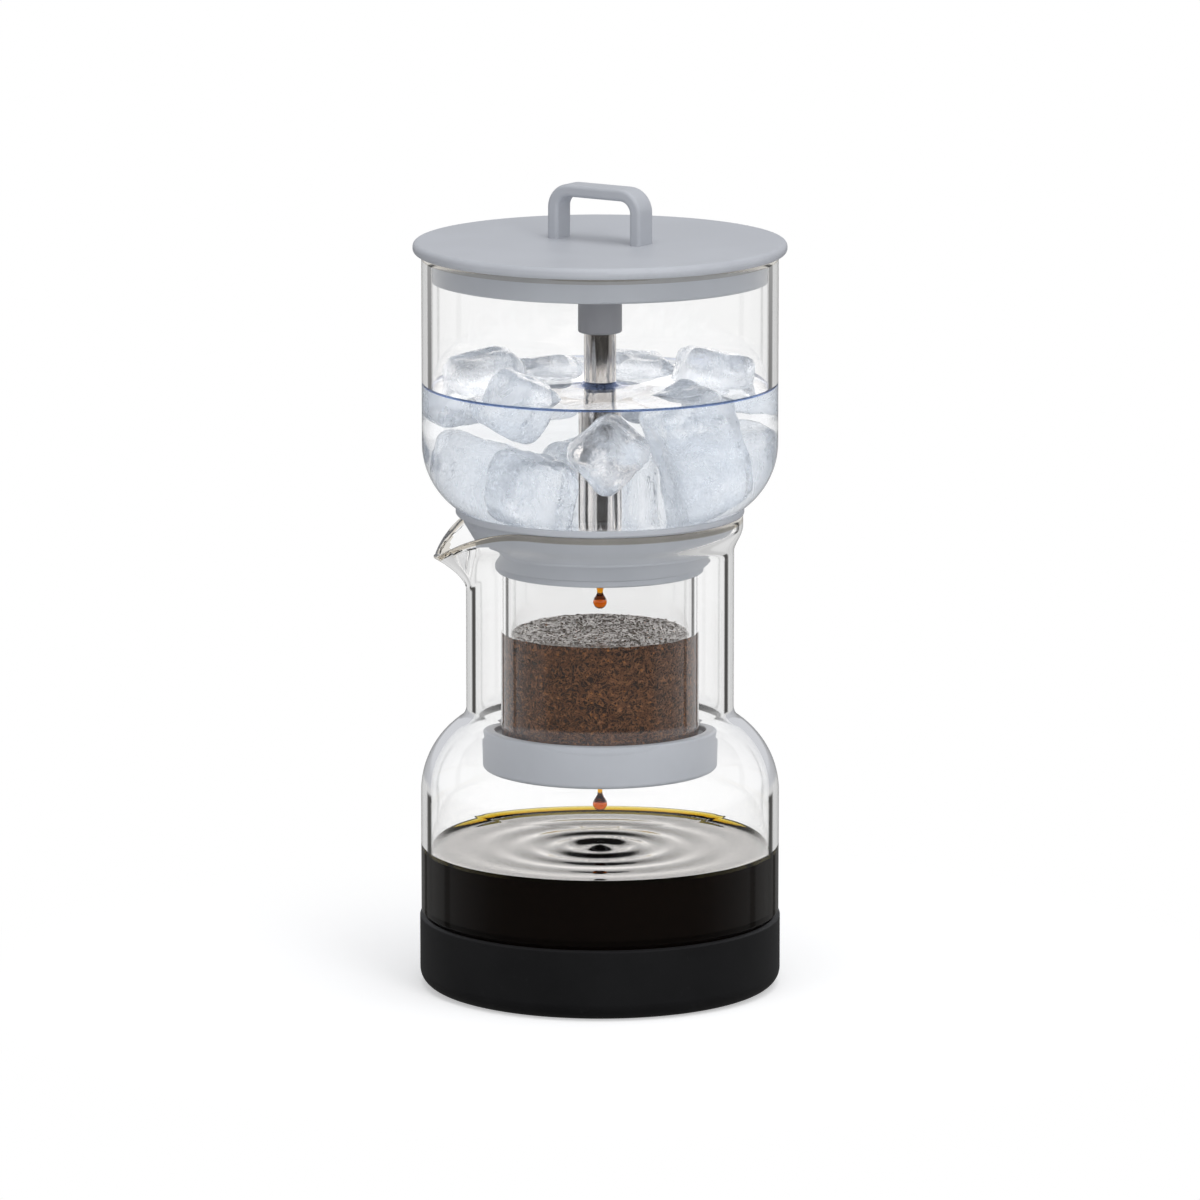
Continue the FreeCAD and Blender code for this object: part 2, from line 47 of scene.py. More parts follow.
# ---- camera ----------------------------------------------------------------------------------
# Long lens, 3 m away and a little above the maker, aimed at the middle of its height. The frame
# is square.
view_distance = 3.0
view_rise = math.radians(10.75)
view_middle = Vector((0.0, 0.0, 0.13085))
lens_data = bpy.data.cameras.new("studio_camera")
lens_data.lens = 268.47
lens_data.sensor_width = 36.0
lens_data.sensor_fit = "HORIZONTAL"
lens_data.clip_start = 0.1
lens_data.clip_end = 60.0
camera = bpy.data.objects.new("studio_camera", lens_data)
scene.collection.objects.link(camera)
camera.location = view_middle + Vector((
    0.0,
    -view_distance * math.cos(view_rise),
    view_distance * math.sin(view_rise),
))
camera.rotation_euler = (math.pi / 2 - view_rise, 0.0, 0.0)
scene.camera = camera
scene.view_settings.view_transform = "Standard"
# Light has to cross carafe, tower, water and ice and come out again.
scene.cycles.max_bounces = 28
scene.cycles.transmission_bounces = 26
scene.cycles.glossy_bounces = 12
scene.cycles.transparent_max_bounces = 24


# ---- studio: floor, backdrop and lamps -------------------------------------------------------
# A pale table that runs into a white backdrop. What is seen straight or through glass is white.
# What shows as a reflection is a darker room with white panels.
class Wire:
    """A node's output in a node tree. Sums written with it become Math nodes there."""

    def __init__(self, tree, socket=None):
        self.tree = tree
        self.socket = socket

    def add(self, kind, settings=None, inputs=None, out=0):
        """Add a node of this type, set it up, fill or link its sockets, give one output."""
        node = self.tree.nodes.new(kind)
        for name, value in (settings or {}).items():
            setattr(node, name, value)
        for name, value in (inputs or {}).items():
            if isinstance(value, Wire):
                self.tree.links.new(value.socket, node.inputs[name])
            else:
                node.inputs[name].default_value = value
        return Wire(self.tree, node.outputs[out]) if len(node.outputs) else node

    def sum(self, operation, first, second=0.0):
        return self.add("ShaderNodeMath", {"operation": operation}, {0: first, 1: second})

    def __add__(self, other):
        return self.sum("ADD", self, other)

    def __radd__(self, other):
        return self.sum("ADD", other, self)

    def __sub__(self, other):
        return self.sum("SUBTRACT", self, other)

    def __rsub__(self, other):
        return self.sum("SUBTRACT", other, self)

    def __mul__(self, other):
        return self.sum("MULTIPLY", self, other)

    def __rmul__(self, other):
        return self.sum("MULTIPLY", other, self)

    def __truediv__(self, other):
        return self.sum("DIVIDE", self, other)

    def most(self, other):
        return self.sum("MAXIMUM", self, other)

    def least(self, other):
        return self.sum("MINIMUM", self, other)

    def ramp(self, low, high, start=0.0, end=1.0):
        """Smooth change from start to end while the value goes from low to high."""
        return self.add(
            "ShaderNodeMapRange",
            {"interpolation_type": "SMOOTHSTEP"},
            {0: self, 1: low, 2: high, 3: start, 4: end},
        )


def blend(wire, share, first, second):
    """A colour between two colours."""
    return wire.add(
        "ShaderNodeMix",
        {"data_type": "RGBA"},
        {0: share, 6: first, 7: second},
        out=2,
    )


def colour(red, green, blue):
    """A colour written as it looks on a screen, 0 to 255, turned into light."""
    def light(value):
        value /= 255
        return value / 12.92 if value <= 0.04045 else ((value + 0.055) / 1.055) ** 2.4
    return (light(red), light(green), light(blue), 1.0)


backdrop_white = (1.0, 1.0, 1.0, 1.0)
# Glass loses a little of what is seen through it, so the backdrop behind it is a little brighter.
behind_glass = (1.05, 1.05, 1.05, 1.0)
gap_dark = (0.05, 0.048, 0.045, 1.0)
panel_pale = (1.0, 1.0, 1.0, 1.0)
ceiling_pale = (0.62, 0.63, 0.66, 1.0)
horizon_glow = (2.05, 1.99, 1.94, 1.0)
daylight = (0.34, 0.345, 0.36, 1.0)

world = bpy.data.worlds.new("studio_room")
world.use_nodes = True
scene.world = world
world.node_tree.nodes.clear()
sky = Wire(world.node_tree)
path = {
    name: sky.add("ShaderNodeLightPath", out=name)
    for name in ("Is Camera Ray", "Is Glossy Ray", "Is Transmission Ray", "Glossy Depth",
                 "Transmission Depth")
}
direction = sky.add("ShaderNodeTexCoord", out="Generated")
heading = {axis: sky.add("ShaderNodeSeparateXYZ", inputs={0: direction}, out=axis)
           for axis in "XYZ"}
# White panels stand at the sides and the corners of the table, with a narrow dark gap between
# them. The angle runs from 0 at a side to 45 degrees at a corner. The panels behind the maker are
# the brightest.
bearing = sky.sum("ARCTAN2", heading["Y"], heading["X"])
from_side = sky.sum("PINGPONG", bearing + 2 * math.pi, math.pi / 4)
side_panel = from_side.ramp(math.radians(22), math.radians(25), 1.0, 0.0)
corner_panel = from_side.ramp(math.radians(28), math.radians(32))
# The gaps run from the table up to just under the horizon.
table_pale = heading["Z"].ramp(-0.46, -0.36, 0.85, 0.0)
horizon_pale = heading["Z"].ramp(-0.13, -0.07, 0.0, 0.85)
panels = side_panel.most(corner_panel).most(table_pale).most(horizon_pale)
# The outside of the glass mirrors the room faintly, the inside of its wall in full.
entered = path["Transmission Depth"].ramp(0.4, 0.6, 0.12, 1.0)
strength = heading["Y"].ramp(-0.7, 0.8, 0.0, 0.95) * entered
low_room = blend(sky, panels * strength, gap_dark, panel_pale)
# Deep inside the glass the room in front of the maker is dark and its sides are pale.
inside = path["Transmission Depth"].ramp(1.4, 1.6)
sides = heading["Y"].ramp(-0.5, -0.3) * heading["Y"].ramp(0.3, 0.4, 1.0, 0.0)
deep_room = blend(sky, (panels * heading["Y"].ramp(-0.5, 0.7)).most(sides * 0.38),
                  gap_dark, panel_pale)
glow = heading["Z"].ramp(0.34, 0.5, 1.0, 0.0)
high_room = blend(sky, inside, ceiling_pale, blend(sky, glow, gap_dark, horizon_glow))
below = blend(sky, inside, low_room, deep_room)
room = blend(sky, heading["Z"].ramp(-0.05, 0.03), below, high_room)
mirrored = path["Glossy Depth"].ramp(0.4, 0.6)
seen = path["Is Camera Ray"].most(path["Is Glossy Ray"]).most(path["Is Transmission Ray"])
backdrop = blend(sky, path["Is Camera Ray"], behind_glass, backdrop_white)
shown = blend(sky, mirrored, backdrop, room)
sky_light = sky.add("ShaderNodeBackground", inputs={0: blend(sky, seen, daylight, shown)})
sky.add("ShaderNodeOutputWorld", inputs={0: sky_light})


def finished(name):
    """An empty material with its node tree."""
    material = bpy.data.materials.new(name)
    material.use_nodes = True
    material.node_tree.nodes.clear()
    return material, Wire(material.node_tree)


def new_piece(name, mesh):
    piece = bpy.data.objects.new(name, mesh)
    scene.collection.objects.link(piece)
    return piece


# Close to the maker the floor is lit paper that takes its shadow. Further off it is plain white.
# A mirrored ray passes it and meets the room.
floor_radius = 12.0
floor_pale = (0.86, 0.86, 0.86, 1.0)
floor_grain = (0.85, 0.85, 0.85, 1.0)
floor_glow = (0.42, 0.42, 0.42, 1.0)
shape = bmesh.new()
bmesh.ops.create_circle(shape, cap_ends=True, segments=96, radius=floor_radius)
floor_mesh = bpy.data.meshes.new("floor")
shape.to_mesh(floor_mesh)
shape.free()
floor = new_piece("floor", floor_mesh)
floor_finish, tree = finished("floor_paper")
spot = tree.add("ShaderNodeTexCoord", out="Object")
away = tree.add("ShaderNodeVectorMath", {"operation": "LENGTH"}, {0: spot}, out="Value")
grain = tree.add("ShaderNodeTexNoise", inputs={"Vector": spot, "Scale": 600.0})
paper = blend(tree, grain, floor_grain, floor_pale)
through_glass = tree.add("ShaderNodeLightPath", out="Is Transmission Ray")
straight = tree.add("ShaderNodeLightPath", out="Is Camera Ray").most(through_glass)
reflected = tree.add("ShaderNodeLightPath", out="Glossy Depth").ramp(0.4, 0.6)
far = away.ramp(0.08, 0.22)
lit_paper = tree.add("ShaderNodeBsdfDiffuse", inputs={"Color": paper})
near_glow = tree.add("ShaderNodeEmission", inputs={"Color": floor_glow})
near = tree.add("ShaderNodeAddShader", inputs={0: lit_paper, 1: near_glow})
far_white = tree.add("ShaderNodeEmission", inputs={
    "Color": blend(tree, through_glass, backdrop_white, behind_glass)})
open_floor = tree.add("ShaderNodeMixShader", inputs={0: far, 1: near, 2: far_white})
seen_floor = tree.add("ShaderNodeMixShader",
                      inputs={0: straight, 1: lit_paper, 2: open_floor})
no_floor = tree.add("ShaderNodeBsdfTransparent")
table = tree.add("ShaderNodeMixShader", inputs={0: reflected, 1: seen_floor, 2: no_floor})
tree.add("ShaderNodeOutputMaterial", inputs={0: table})
floor.data.materials.append(floor_finish)


def lamp(name, place, aim, width, height, watts):
    """A soft panel that lights the maker and is not seen itself."""
    data = bpy.data.lights.new(name, "AREA")
    data.shape = "RECTANGLE"
    data.size = width
    data.size_y = height
    data.energy = watts
    panel = bpy.data.objects.new(name, data)
    scene.collection.objects.link(panel)
    panel.location = place
    panel.rotation_euler = (Vector(aim) - Vector(place)).to_track_quat("-Z", "Y").to_euler()
    panel.visible_camera = False
    panel.visible_glossy = False
    panel.visible_transmission = False


maker_middle = (0.0, 0.0, 0.14)
lamp("panel_right", (0.62, -1.15, 0.5), maker_middle, 0.45, 1.0, 5.4)
lamp("panel_left", (-0.8, -0.95, 0.45), maker_middle, 0.4, 0.9, 1.5)
lamp("panel_top", (0.15, -0.25, 1.5), maker_middle, 1.2, 1.2, 10.4)


# ---- base sleeve -----------------------------------------------------------------------------
# Matte black silicone boot that the carafe's foot is pressed into. Moulded, with a fine satin
# skin that holds specks of dust.
def silicone(name, deep, pale, roughness, dust=0.0, gloss=0.5):
    """Moulded silicone: fine skin, slight cloudiness of tone and gloss."""
    material, tree = finished(name)
    spot = tree.add("ShaderNodeTexCoord", out="Object")
    cloud = tree.add("ShaderNodeTexNoise",
                     inputs={"Vector": spot, "Scale": 38.0, "Detail": 4.0, "Roughness": 0.6})
    skin = tree.add("ShaderNodeTexNoise",
                    inputs={"Vector": spot, "Scale": 2600.0, "Detail": 2.0})
    speck = tree.add("ShaderNodeTexNoise",
                     inputs={"Vector": spot, "Scale": 420.0, "Detail": 5.0, "Roughness": 0.7})
    tone = blend(tree, cloud.ramp(0.3, 0.7), deep, pale)
    if dust:
        dust_grey = colour(150, 150, 150)
        tone = blend(tree, speck.ramp(0.6, 0.85) * dust, tone, dust_grey)
    bump = tree.add("ShaderNodeBump", inputs={
        "Strength": 0.16, "Distance": 0.00012, "Height": skin + speck * 0.6})
    skin_shader = tree.add("ShaderNodeBsdfPrincipled", inputs={
        "Base Color": tone,
        "Roughness": cloud.ramp(0.25, 0.75, roughness - 0.05, roughness + 0.05) + speck * 0.04,
        "Normal": bump,
        "IOR": 1.42,
        "Specular IOR Level": gloss,
        "Sheen Weight": 0.08 * gloss,
        "Sheen Roughness": 0.4,
    })
    tree.add("ShaderNodeOutputMaterial", inputs={0: skin_shader})
    return material


def dress(node, material):
    """Give a CAD node its finish."""
    mesh = nodes[node].data
    mesh.materials.clear()
    mesh.materials.append(material)


black_silicone = silicone("black_silicone", colour(19, 19, 20), colour(24, 24, 25), 0.52,
                          dust=0.05, gloss=0.3)
dress("base_sleeve", black_silicone)


# ---- carafe glass ----------------------------------------------------------------------------
# Blown borosilicate carafe: round body, shoulder, straight neck, and a flared mouth with a spout
# pulled out of it while hot. It has the outline and spout of the CAD solid, turned more finely.
def rounded(path, steps=14):
    """Points along lines through (radius, height, rounding), with arcs at the corners."""
    points = [Vector(p[:2]) for p in path]
    reach = [0.0] * len(points)
    for i in range(1, len(points) - 1):
        if len(path[i]) > 2 and path[i][2] > 0:
            turn = (points[i] - points[i - 1]).angle(points[i + 1] - points[i])
            reach[i] = path[i][2] * math.tan(turn / 2)
    line = []
    for i, point in enumerate(points):
        if not reach[i]:
            line.append(point)
            continue
        back = (points[i - 1] - point).normalized()
        ahead = (points[i + 1] - point).normalized()
        swing = (math.pi - back.angle(ahead)) / 2
        hub = point + (back + ahead).normalized() * path[i][2] / math.cos(swing)
        start = point + back * reach[i] - hub
        side = 1 if back.cross(ahead) < 0 else -1
        for k in range(steps + 1):
            line.append(hub + Matrix.Rotation(side * 2 * swing * k / steps, 2) @ start)
    # Short faces beside each bend keep the long walls smooth.
    fine = [line[0]]
    for a, b in zip(line, line[1:]):
        length = (b - a).length
        if length > 2.0:
            fine.append(a.lerp(b, 0.2 / length))
            pieces = int(length / 5) + 1
            fine += [a.lerp(b, k / pieces) for k in range(1, pieces)]
            fine.append(a.lerp(b, 1 - 0.2 / length))
        fine.append(b)
    return fine


def inward(path, wall):
    """The same line moved to its left by a wall's thickness."""
    sides = []
    for a, b in zip(path, path[1:]):
        run = Vector((b[0] - a[0], b[1] - a[1])).normalized()
        shift = Vector((-run.y, run.x)) * wall
        sides.append((Vector(a[:2]) + shift, run))
    moved = [tuple(sides[0][0])]
    for (a, run), (b, other), corner in zip(sides, sides[1:], path[1:]):
        cross = run.cross(other)
        meet = a + run * ((b - a).cross(other) / cross)
        rounding = []
        if len(corner) > 2:
            rounding = [max(0.0, corner[2] - math.copysign(wall, cross))]
        moved.append((*meet, *rounding))
    end, run = sides[-1]
    last = Vector(path[-1][:2]) - Vector(path[-2][:2])
    moved.append(tuple(end + run * last.length))
    return moved


def lathe(name, columns):
    """A closed smooth skin from one (radius, height) line per column, in millimetres."""
    shape = bmesh.new()
    count = len(columns)
    rings = len(columns[0])
    poles = {}
    grid = []
    for i, line in enumerate(columns):
        angle = 2 * math.pi * i / count
        row = []
        for k, (radius, height) in enumerate(line):
            if radius < 1e-6:
                if k not in poles:
                    poles[k] = shape.verts.new((0.0, 0.0, height * mm))
                row.append(poles[k])
            else:
                row.append(shape.verts.new((
                    radius * math.cos(angle) * mm,
                    radius * math.sin(angle) * mm,
                    height * mm,
                )))
        grid.append(row)
    closed = columns[0][0][0] > 1e-6
    for i in range(count):
        near, far = grid[i], grid[(i + 1) % count]
        for k in range(rings if closed else rings - 1):
            corners = [near[k], far[k], far[(k + 1) % rings], near[(k + 1) % rings]]
            corners = list(dict.fromkeys(corners))
            if len(corners) > 2:
                shape.faces.new(corners).smooth = True
    bmesh.ops.recalc_face_normals(shape, faces=shape.faces)
    mesh = bpy.data.meshes.new(name)
    shape.to_mesh(mesh)
    shape.free()
    return mesh


carafe_wall = 3.2
neck_top = 133.0
neck_outer = 44.9
carafe_line = [
    (0.0, 2.5), (58.65, 2.5, 5.0), (58.65, 24.0, 0.75), (60.2, 25.5, 0.75),
    (60.2, 80.9, 29.0), (neck_outer, 91.613, 6.5), (neck_outer, neck_top),
]
mouth_outer = 47.9
lip_wall = 1.7
lip_top = 159.55
lip_straight = 3.0
flare_start = 147.8
spout_turn = math.radians(187.2)
spout_reach = 7.8
spout_drop = 13.2
spout_flare_drop = 13.3
spout_half_width = 36.9
spout_dip_width = 50.0
spout_tip_width = 3.5


def from_spout(angle):
    """Degrees from the spout, -180 to 180, at an angle round the carafe."""
    return (math.degrees(angle - spout_turn) + 180) % 360 - 180


def spout_share(turn, half_width):
    """1 at the spout's middle, falling to 0 at so many degrees beside it, round at the tip."""
    eased = math.hypot(turn, spout_tip_width) - spout_tip_width
    return max(0.0, 1 - eased / half_width)


def lip_height(turn):
    """Height of the mouth's lip at so many degrees from the spout."""
    return lip_top - spout_drop * spout_share(turn, spout_dip_width) ** 1.92


def mouth_line(turn):
    """Outside, lip and inside of the mouth at so many degrees from the spout."""
    pull = spout_share(turn, spout_half_width) ** 1.44
    dip = spout_share(turn, spout_dip_width) ** 1.92
    tip = mouth_outer + spout_reach * pull
    top = lip_height(turn)
    start = flare_start - spout_flare_drop * dip
    finish = top - lip_straight * (1 - dip)

    def opened(height):
        rise = min(1.0, max(0.0, (height - start) / (finish - start)))
        return (1 - dip) * rise * rise * (3 - 2 * rise) + dip * rise ** 1.9

    def outside(height):
        return neck_outer + (tip - neck_outer) * opened(height)

    steps = 40
    lip_steps = 12
    probe = 0.02
    outer, inner = [], []
    for i in range(1, steps + 1):
        height = neck_top + (top - neck_top) * i / steps
        above = min(height + probe, top)
        lean = math.atan((outside(above) - outside(height - probe)) / (above - height + probe))
        wall = carafe_wall + (lip_wall - carafe_wall) * opened(height)
        outer.append((outside(height), height))
        inner.append((outside(height) - wall * math.cos(lean), height + wall * math.sin(lean)))
    middle = (Vector(outer[-1]) + Vector(inner[-1])) / 2
    lip = []
    for i in range(1, lip_steps):
        swing = math.pi * i / lip_steps
        across = lip_wall / 2 * math.cos(swing)
        beyond = lip_wall / 2 * math.sin(swing)
        lip.append((
            middle.x + across * math.cos(lean) + beyond * math.sin(lean),
            middle.y - across * math.sin(lean) + beyond * math.cos(lean),
        ))
    return outer + lip + inner[::-1]


def open_to_light(tree, solid, tint):
    """End a material so that light from lamps and from matt surfaces passes through it."""
    way = tree.add("ShaderNodeBsdfTransparent", inputs={"Color": tint})
    for ray in ("Is Diffuse Ray", "Is Shadow Ray"):
        solid = tree.add("ShaderNodeMixShader", inputs={
            0: tree.add("ShaderNodeLightPath", out=ray), 1: solid, 2: way})
    tree.add("ShaderNodeOutputMaterial", inputs={0: solid})


def blown_glass(name, tint, smeared, waviness):
    """Clear glass with the faint waves and smears of blown glass."""
    material, tree = finished(name)
    spot = tree.add("ShaderNodeTexCoord", out="Object")
    wave = tree.add("ShaderNodeTexNoise", inputs={"Vector": spot, "Scale": 16.0, "Detail": 1.0})
    smear = tree.add("ShaderNodeTexNoise",
                     inputs={"Vector": spot, "Scale": 90.0, "Detail": 4.0, "Roughness": 0.6})
    bump = tree.add("ShaderNodeBump",
                    inputs={"Strength": waviness, "Distance": 0.0006, "Height": wave})
    clear = tree.add("ShaderNodeBsdfPrincipled", inputs={
        "Base Color": blend(tree, smear.ramp(0.45, 0.8), tint, smeared),
        "Roughness": smear.ramp(0.6, 0.9, 0.0, 0.008),
        "IOR": 1.47,
        "Transmission Weight": 1.0,
        "Normal": bump,
    })
    # Light that was mirrored inside the wall leaves it straight, so it isn't lost in there.
    mirrored_ray = tree.add("ShaderNodeLightPath", out="Is Reflection Ray")
    way = tree.add("ShaderNodeBsdfTransparent")
    clear = tree.add("ShaderNodeMixShader", inputs={0: mirrored_ray, 1: clear, 2: way})
    open_to_light(tree, clear, (0.97, 0.975, 0.975, 1.0))
    return material


glass_clean = (1.0, 1.0, 1.0, 1.0)
glass_smeared = (0.988, 0.992, 0.99, 1.0)
glass_waviness = 0.05
clear_glass = blown_glass("carafe_glass_clear", glass_clean, glass_smeared, glass_waviness)
# Painted shade: the top of the lip is tinted brown so that it shows as a dark line.
painted_dark_rim_glass = blown_glass("painted_dark_rim", (0.60, 0.55, 0.47, 1.0), (0.66, 0.61, 0.53, 1.0), 0.0)
body_outside = rounded(carafe_line, 24)
body_inside = rounded(inward(carafe_line, carafe_wall), 24)[::-1]
turns = 240
carafe_columns = []
for i in range(turns):
    mouth = mouth_line(from_spout(2 * math.pi * i / turns))
    carafe_columns.append(body_outside + mouth + body_inside)
carafe = new_piece("carafe_blown", lathe("carafe_blown", carafe_columns))
carafe.data.materials.append(clear_glass)
carafe.data.materials.append(painted_dark_rim_glass)
# Height of the painted dark line at the top of the lip.
painted_rim_height = 1.0
for face in carafe.data.polygons:
    lip = lip_height(from_spout(math.atan2(face.center.y, face.center.x)))
    if face.center.z > (lip - painted_rim_height) * mm:
        face.material_index = 1
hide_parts("carafe_glass")
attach(carafe, "carafe")


# ---- brewed coffee ---------------------------------------------------------------------------
# Cold brew that has run down into the carafe. Its surface follows a rule: rings run out from
# where the last drop fell and die away, and it climbs a little up the glass at the edge.
coffee_top = 46.55
coffee_inside = rounded(inward(carafe_line, carafe_wall - 0.1), 16)
coffee_side = [point for point in coffee_inside if point.y < coffee_top - 2.5]
coffee_reach = coffee_side[-1].x
coffee_line = coffee_side + [
    Vector((coffee_reach, coffee_top - drop)) for drop in (1.9, 0.5, 0.04, 0.0)]
edge_rings = 14
edge_step = 0.35
for k in range(1, edge_rings):
    coffee_line.append(Vector((coffee_reach - edge_step * k, coffee_top)))
ring_count = 110
inner_start = coffee_reach - edge_step * (edge_rings - 1)
for k in range(1, ring_count + 1):
    coffee_line.append(Vector((inner_start * (1 - k / ring_count), coffee_top)))
coffee = new_piece("coffee_rippled", lathe("coffee_rippled", [coffee_line] * 160))


def node_group(name, inputs):
    """A geometry tree with named sizes. Gives the tree, its wire and its inputs."""
    group = bpy.data.node_groups.new(name, "GeometryNodeTree")
    group.interface.new_socket("Geometry", in_out="INPUT", socket_type="NodeSocketGeometry")
    for label, value in inputs.items():
        socket = group.interface.new_socket(label, in_out="INPUT",
                                            socket_type="NodeSocketFloat")
        socket.default_value = value
    group.interface.new_socket("Geometry", in_out="OUTPUT", socket_type="NodeSocketGeometry")
    wire = Wire(group)
    given = group.nodes.new("NodeGroupInput")
    sizes = {socket.name: Wire(group, socket) for socket in given.outputs if socket.name}
    return group, wire, sizes


def grown(piece, group, values):
    """Run a geometry tree on a piece and keep the result as its plain mesh."""
    modifier = piece.modifiers.new(group.name, "NODES")
    modifier.node_group = group
    for item in group.interface.items_tree:
        if item.item_type == "SOCKET" and item.in_out == "INPUT" and item.name in values:
            modifier[item.identifier] = values[item.name]
    bpy.context.view_layer.update()
    ready = piece.evaluated_get(bpy.context.evaluated_depsgraph_get())
    mesh = bpy.data.meshes.new_from_object(ready)
    piece.modifiers.remove(modifier)
    piece.data = mesh


ripple_sizes = {
    "Level": coffee_top * mm - 0.0001,
    "Wave length": 0.0125,
    "Wave height": 0.00085,
    "Fade": 0.022,
    "Reach": coffee_reach * mm,
    "Climb": 0.0018,
    "Climb width": 0.0014,
}
ripples, tree, size = node_group("coffee_ripples", ripple_sizes)
place = tree.add("GeometryNodeInputPosition")
axes = {axis: tree.add("ShaderNodeSeparateXYZ", inputs={0: place}, out=axis) for axis in "XYZ"}
from_middle = tree.sum("SQRT", axes["X"] * axes["X"] + axes["Y"] * axes["Y"])
crest = tree.sum("COSINE", from_middle * (2 * math.pi) / size["Wave length"])
fading = tree.sum("EXPONENT", 0.0 - from_middle / size["Fade"])
climb = tree.sum("EXPONENT", (from_middle - size["Reach"]) / size["Climb width"])
# The climb is half as high at the front as at the back.
climb = climb * axes["Y"].ramp(-0.03, 0.03, 0.5, 1.0)
lift = crest * fading * size["Wave height"] + climb * size["Climb"]
on_top = tree.add("FunctionNodeCompare", {"operation": "GREATER_THAN"},
                  {0: axes["Z"], 1: size["Level"]})
raised = tree.add("GeometryNodeSetPosition", inputs={
    "Geometry": size["Geometry"],
    "Selection": on_top,
    "Offset": tree.add("ShaderNodeCombineXYZ", inputs={"Z": lift}),
})
coffee_finish, liquid = finished("cold_brew")
film = liquid.add("ShaderNodeTexNoise", inputs={
    "Vector": liquid.add("ShaderNodeTexCoord", out="Object"), "Scale": 55.0, "Detail": 3.0})
surface = liquid.add("ShaderNodeBsdfPrincipled", inputs={
    "Base Color": blend(liquid, film, (0.95, 0.86, 0.6, 1.0), (0.97, 0.9, 0.68, 1.0)),
    "Roughness": film.ramp(0.4, 0.9, 0.0, 0.03),
    "IOR": 1.34,
    "Transmission Weight": 1.0,
    "Specular IOR Level": 0.5,
})
dark_brew = liquid.add("ShaderNodeVolumeAbsorption",
                       inputs={"Color": (0.945, 0.838, 0.08, 1.0), "Density": 3000.0})
liquid.add("ShaderNodeOutputMaterial", inputs={0: surface, 1: dark_brew})
# Below its thin edge the brew is too deep for light to cross, so its side is nearly black.
depth_finish, liquid = finished("cold_brew_depth")
cloud = liquid.add("ShaderNodeTexNoise", inputs={
    "Vector": liquid.add("ShaderNodeTexCoord", out="Object"), "Scale": 22.0, "Detail": 3.0})
side = liquid.add("ShaderNodeBsdfPrincipled", inputs={
    "Base Color": blend(liquid, cloud, colour(8, 5, 4), colour(15, 9, 6)),
    "Roughness": cloud.ramp(0.2, 0.8, 0.04, 0.1),
    "IOR": 1.34,
    "Specular IOR Level": 0.2,
})
liquid.add("ShaderNodeOutputMaterial", inputs={0: side})
clear_top = tree.add("GeometryNodeSetMaterial", inputs={
    "Geometry": tree.add("GeometryNodeRealizeInstances", inputs={0: raised}),
    "Material": coffee_finish})
thin_edge = 0.0009
deep = tree.add("FunctionNodeCompare", {"operation": "LESS_THAN"},
                {0: axes["Z"], 1: size["Level"] - thin_edge})
dressed = tree.add("GeometryNodeSetMaterial", inputs={
    "Geometry": clear_top, "Selection": deep, "Material": depth_finish})
tree.add("NodeGroupOutput", inputs={0: dressed})
grown(coffee, ripples, ripple_sizes)
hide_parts("brewed_coffee")
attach(coffee, "carafe")


# ---- drip tower glass ------------------------------------------------------------------------
# One blown piece: wide water chamber with a rounded floor, and below it the narrow coffee
# chamber. Fire-polished rims, and a hole between the two chambers for the drip valve.
tower_wall = 3.2
tower_outer = 59.5
tower_inner = 56.3
tower_top = 248.3
chamber_outer = 33.2
chamber_inner = 30.0
chamber_foot = 77.5
waist = 154.4
valve_hole = 8.0
bowl_pitch = math.radians(30)
bowl_slope = math.tan(bowl_pitch)
bowl_corner = waist + (tower_outer - chamber_outer) * bowl_slope
bowl_rise = tower_wall / math.cos(bowl_pitch)
chamber_floor = waist + (chamber_inner - chamber_outer) * bowl_slope + bowl_rise
bowl_edge = chamber_outer + (chamber_floor - waist - bowl_rise) / bowl_slope
inner_corner = waist + (tower_inner - chamber_outer) * bowl_slope + bowl_rise
rim_round = 1.55
bowl_round_inner = 22.8
tower_line = rounded([
    (valve_hole, chamber_floor - 1.6), (valve_hole, chamber_floor, 0.3),
    (bowl_edge, chamber_floor, 2.0), (tower_inner, inner_corner, bowl_round_inner),
    (tower_inner, tower_top, rim_round), (tower_outer, tower_top, rim_round),
    (tower_outer, bowl_corner, 26.0), (chamber_outer, waist, 3.0),
    (chamber_outer, chamber_foot, rim_round), (chamber_inner, chamber_foot, rim_round),
    (chamber_inner, chamber_floor - tower_wall, 3.2),
    (valve_hole, chamber_floor - tower_wall, 0.3), (valve_hole, chamber_floor - 1.61),
], 18)
tower = new_piece("tower_blown", lathe("tower_blown", [tower_line] * turns))
tower_clear = blown_glass("tower_glass_clear", glass_clean, glass_smeared, glass_waviness)
tower.data.materials.append(tower_clear)
tower.data.materials.append(painted_dark_rim_glass)
# Painted shade: the top of the tower's rim takes the brown-tinted glass, so it shows as a dark
# line.
tower_painted_rim = 1.5
for face in tower.data.polygons:
    if face.center.z > (tower_top - tower_painted_rim) * mm:
        face.material_index = 1
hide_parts("tower_glass")
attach(tower, "tower")


# ---- silicone seal, valve seat and nozzle ----------------------------------------------------
# Pale blue-grey silicone, moulded: the plug between tower and carafe, the grommet in the hole
# between the chambers, and the tip that the water drips from.
pale_silicone = silicone("grey_silicone", colour(184, 187, 193), colour(190, 193, 199), 0.42)
for node in ("carafe_seal", "valve_seat", "drip_nozzle"):
    dress(node, pale_silicone)
